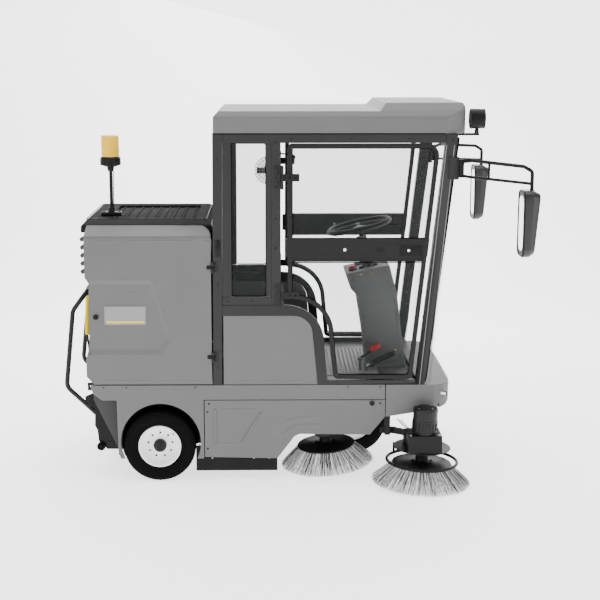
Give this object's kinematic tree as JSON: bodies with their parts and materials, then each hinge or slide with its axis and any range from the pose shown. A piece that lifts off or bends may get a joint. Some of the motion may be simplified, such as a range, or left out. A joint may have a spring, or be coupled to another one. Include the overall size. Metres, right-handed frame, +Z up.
{
  "type": "ride on sweeper",
  "caption": "Ride-on floor sweeper with a glazed driver's cab, rear waste container, main roller, side brushes, mirrors, beacon and hinged doors.",
  "frame": {"origin": "on the floor, under the middle of the machine's overall length and width", "axes": "+X forward, +Y to the driver's left, +Z up"},
  "size_m": [2.4277, 1.654, 1.9839],
  "materials": {
    "body_grey": "satin",
    "frame_dark": "satin",
    "black_plastic": "satin",
    "tyre": "matte",
    "rim_white": "satin",
    "glass": "gloss",
    "console": "textured",
    "bristle": "matte",
    "amber": "gloss",
    "seat": "satin",
    "steel": "satin",
    "yellow": "satin",
    "red": "satin",
    "badge": "satin",
    "battery": "satin"
  },
  "bodies": {
    "chassis": {"chassis_frame": "frame_dark", "body_side_right": "body_grey", "body_side_left": "body_grey", "front_cowl": "body_grey", "cab_floor": "body_grey", "cab_frame": "frame_dark", "roof_panel": "body_grey", "windscreen": "glass", "cab_glass": "glass", "quarter_panel_right": "body_grey", "quarter_panel_left": "body_grey", "rear_enclosure": "body_grey", "seat_pedestal": "black_plastic", "steering_console": "console", "battery_pack": "battery", "filter_housing": "black_plastic", "hood_cover": "black_plastic", "hood_grille": "black_plastic", "beacon_pole": "black_plastic", "beacon_lens": "amber", "side_skirts": "tyre", "hinge_screws": "steel"},
    "rear_wheel_right": {"tyre_right": "tyre", "rim_right": "rim_white"},
    "rear_wheel_left": {"tyre_left": "tyre", "rim_left": "rim_white"},
    "fork": {"steering_fork": "frame_dark"},
    "drive": {"drive_wheel": "tyre"},
    "steering": {"steering_wheel": "black_plastic"},
    "door_right": {"cab_door_right": "frame_dark", "door_glass_right": "glass"},
    "door_left": {"cab_door_left": "frame_dark", "door_glass_left": "glass"},
    "latch_right": {"door_latch_right": "black_plastic"},
    "latch_left": {"door_latch_left": "black_plastic"},
    "service_right": {"service_door_right": "body_grey", "blank_badge": "badge"},
    "service_left": {"service_door_left": "body_grey"},
    "roller": {"main_roller": "bristle"},
    "mid_arm": {"mid_brush_arm": "black_plastic"},
    "mid_head": {"mid_brush_head": "bristle"},
    "front_arm": {"front_brush_arm": "black_plastic"},
    "front_head": {"front_brush_head": "bristle"},
    "container": {"waste_container": "black_plastic", "container_handle": "frame_dark"},
    "container_wheels": {"container_rollers": "black_plastic"},
    "lever": {"release_lever": "yellow"},
    "throttle": {"accelerator_pedal": "black_plastic"},
    "brake": {"brake_pedal": "steel"},
    "stop_button": {"emergency_stop": "red"},
    "key": {"key_switch": "black_plastic"},
    "mirror_arm_r": {"mirror_arm_right": "black_plastic"},
    "mirror_arm_l": {"mirror_arm_left": "black_plastic"},
    "mirror_r": {"mirror_head_right": "black_plastic"},
    "mirror_l": {"mirror_head_left": "black_plastic"},
    "wiper_arm": {"wiper": "black_plastic"},
    "seat": {"seat_cushion": "seat", "seat_backrest": "seat"},
    "light_r": {"work_light_right": "black_plastic"},
    "light_l": {"work_light_left": "black_plastic"}
  },
  "joints": [
    {"name": "rear_right_spin", "type": "hinge", "parent": "chassis", "child": "rear_wheel_right", "pos_m": [-0.692, -0.465, 0.19], "axis": [0, 1, 0], "continuous": true},
    {"name": "rear_left_spin", "type": "hinge", "parent": "chassis", "child": "rear_wheel_left", "pos_m": [-0.692, 0.465, 0.19], "axis": [0, 1, 0], "continuous": true},
    {"name": "steer", "type": "hinge", "parent": "chassis", "child": "fork", "pos_m": [0.357, 0, 0.47], "axis": [0, 0, 1], "range_deg": [-34, 34]},
    {"name": "drive_spin", "type": "hinge", "parent": "fork", "child": "drive", "pos_m": [0.357, 0, 0.19], "axis": [0, 1, 0], "continuous": true},
    {"name": "steering_turn", "type": "hinge", "parent": "chassis", "child": "steering", "pos_m": [0.386, 0, 1.297], "axis": [-0.2198, 0, 0.9755], "range_deg": [-204, 204]},
    {"name": "cab_door_right_swing", "type": "hinge", "parent": "chassis", "child": "door_right", "pos_m": [-0.045, -0.533, 1.3], "axis": [0, 0, 1], "range_deg": [-95, 0]},
    {"name": "door_latch_right_turn", "type": "hinge", "parent": "door_right", "child": "latch_right", "pos_m": [0.64, -0.51, 1.24], "axis": [0, 1, 0], "range_deg": [0, 45], "stiffness_Nm_per_rad": 1, "springref_deg": -8.59},
    {"name": "service_door_right_swing", "type": "hinge", "parent": "chassis", "child": "service_right", "pos_m": [-0.405, -0.533, 0.9], "axis": [0, 0, 1], "range_deg": [0, 100]},
    {"name": "cab_door_left_swing", "type": "hinge", "parent": "chassis", "child": "door_left", "pos_m": [-0.045, 0.533, 1.3], "axis": [0, 0, 1], "range_deg": [0, 95]},
    {"name": "door_latch_left_turn", "type": "hinge", "parent": "door_left", "child": "latch_left", "pos_m": [0.64, 0.51, 1.24], "axis": [0, 1, 0], "range_deg": [0, 45], "stiffness_Nm_per_rad": 1, "springref_deg": -8.59},
    {"name": "service_door_left_swing", "type": "hinge", "parent": "chassis", "child": "service_left", "pos_m": [-0.405, 0.533, 0.9], "axis": [0, 0, 1], "range_deg": [-100, 0]},
    {"name": "roller_spin", "type": "hinge", "parent": "chassis", "child": "roller", "pos_m": [-0.25, 0, 0.152], "axis": [0, 1, 0], "continuous": true},
    {"name": "mid_brush_lift", "type": "hinge", "parent": "chassis", "child": "mid_arm", "pos_m": [-0.02, -0.33, 0.38], "axis": [0, -1, 0], "range_deg": [-10, 0]},
    {"name": "mid_brush_spin", "type": "hinge", "parent": "mid_arm", "child": "mid_head", "pos_m": [0.202, -0.362, 0.056], "axis": [-0.0872, -0.0349, 0.9956], "continuous": true},
    {"name": "front_brush_lift", "type": "hinge", "parent": "chassis", "child": "front_arm", "pos_m": [0.514, -0.45, 0.257], "axis": [0, -1, 0], "range_deg": [0, 14]},
    {"name": "front_brush_spin", "type": "hinge", "parent": "front_arm", "child": "front_head", "pos_m": [0.685, -0.566, 0.0105], "axis": [0.0349, 0, 0.9994], "continuous": true},
    {"name": "container_pull", "type": "slide", "parent": "chassis", "child": "container", "axis": [-1, 0, 0], "range_m": [0, 0.6]},
    {"name": "container_wheels_spin", "type": "hinge", "parent": "container", "child": "container_wheels", "pos_m": [-1.022, 0, 0.143], "axis": [0, 1, 0], "continuous": true},
    {"name": "release_lever_pull", "type": "hinge", "parent": "chassis", "child": "lever", "pos_m": [-1.086, -0.2, 0.58], "axis": [0, 1, 0], "range_deg": [-30, 0]},
    {"name": "accelerator_press", "type": "hinge", "parent": "chassis", "child": "throttle", "pos_m": [0.418, -0.2, 0.541], "axis": [0, 1, 0], "range_deg": [0, 12], "stiffness_Nm_per_rad": 20, "springref_deg": -11.46},
    {"name": "brake_press", "type": "hinge", "parent": "chassis", "child": "brake", "pos_m": [0.385, -0.2, 0.588], "axis": [0, 1, 0], "range_deg": [0, 15], "stiffness_Nm_per_rad": 30, "springref_deg": -11.46},
    {"name": "emergency_stop_press", "type": "slide", "parent": "chassis", "child": "stop_button", "axis": [0.2234, 0, -0.9747], "range_m": [0, 0.006]},
    {"name": "key_turn", "type": "hinge", "parent": "chassis", "child": "key", "pos_m": [0.436, -0.06, 1.07733], "axis": [-0.2234, 0, 0.9747], "range_deg": [0, 90]},
    {"name": "mirror_arm_right_fold", "type": "hinge", "parent": "chassis", "child": "mirror_arm_r", "pos_m": [0.862, -0.545, 1.65], "axis": [0, 0, 1], "range_deg": [-60, 20]},
    {"name": "mirror_right_turn", "type": "hinge", "parent": "mirror_arm_r", "child": "mirror_r", "pos_m": [1.18, -0.747, 1.56], "axis": [0, 0, 1], "range_deg": [-20, 20]},
    {"name": "work_light_right_tilt", "type": "hinge", "parent": "chassis", "child": "light_r", "pos_m": [0.954, -0.42, 1.838], "axis": [0, 1, 0], "range_deg": [0, 25]},
    {"name": "mirror_arm_left_fold", "type": "hinge", "parent": "chassis", "child": "mirror_arm_l", "pos_m": [0.862, 0.545, 1.65], "axis": [0, 0, 1], "range_deg": [-20, 60]},
    {"name": "mirror_left_turn", "type": "hinge", "parent": "mirror_arm_l", "child": "mirror_l", "pos_m": [1.18, 0.747, 1.56], "axis": [0, 0, 1], "range_deg": [-20, 20]},
    {"name": "work_light_left_tilt", "type": "hinge", "parent": "chassis", "child": "light_l", "pos_m": [0.954, 0.42, 1.838], "axis": [0, 1, 0], "range_deg": [0, 25]},
    {"name": "wiper_sweep", "type": "hinge", "parent": "chassis", "child": "wiper_arm", "pos_m": [0.76, -0.06, 0.79], "axis": [0.9958, 0, -0.0917], "range_deg": [-45, 45]},
    {"name": "seat_slide", "type": "slide", "parent": "chassis", "child": "seat", "axis": [1, 0, 0], "range_m": [-0.02, 0.1]}
  ],
  "couplings": [
    {"joint": "steering_turn", "follows": "steer", "ratio": 6}
  ]
}
